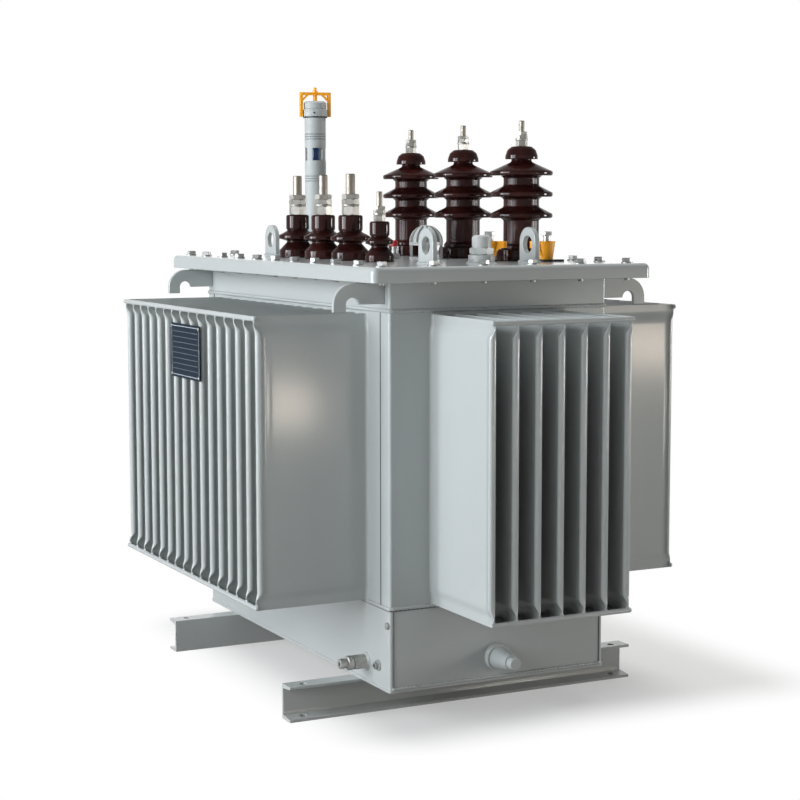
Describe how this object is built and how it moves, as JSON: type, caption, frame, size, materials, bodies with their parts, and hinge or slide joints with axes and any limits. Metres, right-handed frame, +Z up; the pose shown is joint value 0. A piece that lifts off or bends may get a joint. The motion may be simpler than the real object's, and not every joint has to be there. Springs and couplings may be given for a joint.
{
  "type": "oil-filled distribution power transformer",
  "caption": "Free-standing oil-filled power transformer: tank with corrugated cooling fins on skids, porcelain bushings, level gauge and lifting lugs on the cover.",
  "frame": {"origin": "on the ground under the middle of the tank, at the skids' soles", "axes": "+Z up, +Y along the tank's long side away from the drain plug, +X across the tank towards the high-voltage bushings"},
  "size_m": [1.087, 1.613, 1.4495],
  "materials": {
    "paint": "semi-gloss light grey paint",
    "porcelain": "glossy dark brown glaze",
    "tinned_metal": "dull tin plate",
    "amber_plastic": "moulded",
    "black_plastic": "moulded",
    "blue_plastic": "moulded",
    "red_plastic": "moulded",
    "plate": "anodised navy plate"
  },
  "bodies": {
    "root": {"tank_base": "paint", "tank_wall": "paint", "tank_collar": "paint", "tank_flange": "paint", "cover": "paint", "left_fins": "paint", "right_fins": "paint", "front_fins": "paint", "rear_fins": "paint", "left_fin_bars": "paint", "right_fin_bars": "paint", "front_fin_bars": "paint", "rear_fin_bars": "paint", "front_skid": "paint", "rear_skid": "paint", "left_hooks": "paint", "right_hooks": "paint", "front_lugs": "paint", "rear_lugs": "paint", "lv_bushing_1": "porcelain", "lv_bushing_2": "porcelain", "lv_bushing_3": "porcelain", "neutral_bushing": "porcelain", "lv_terminals": "tinned_metal", "hv_bushing_1": "porcelain", "hv_bushing_2": "porcelain", "hv_bushing_3": "porcelain", "hv_terminals": "tinned_metal", "gauge_tube": "paint", "gauge_float": "blue_plastic", "gauge_gasket": "black_plastic", "gauge_head": "paint", "gauge_yoke": "amber_plastic", "oil_filler": "paint", "relief_valve_frame": "paint", "relief_valve_hood": "paint", "tap_bases": "black_plastic", "tap_handles": "amber_plastic", "tap_lock_bolts": "tinned_metal", "thermometer_pocket": "tinned_metal", "thermometer_cap": "red_plastic", "rating_plate": "plate", "drain_valve": "paint", "earth_terminal": "tinned_metal", "drain_plug": "paint"}
  },
  "joints": []
}
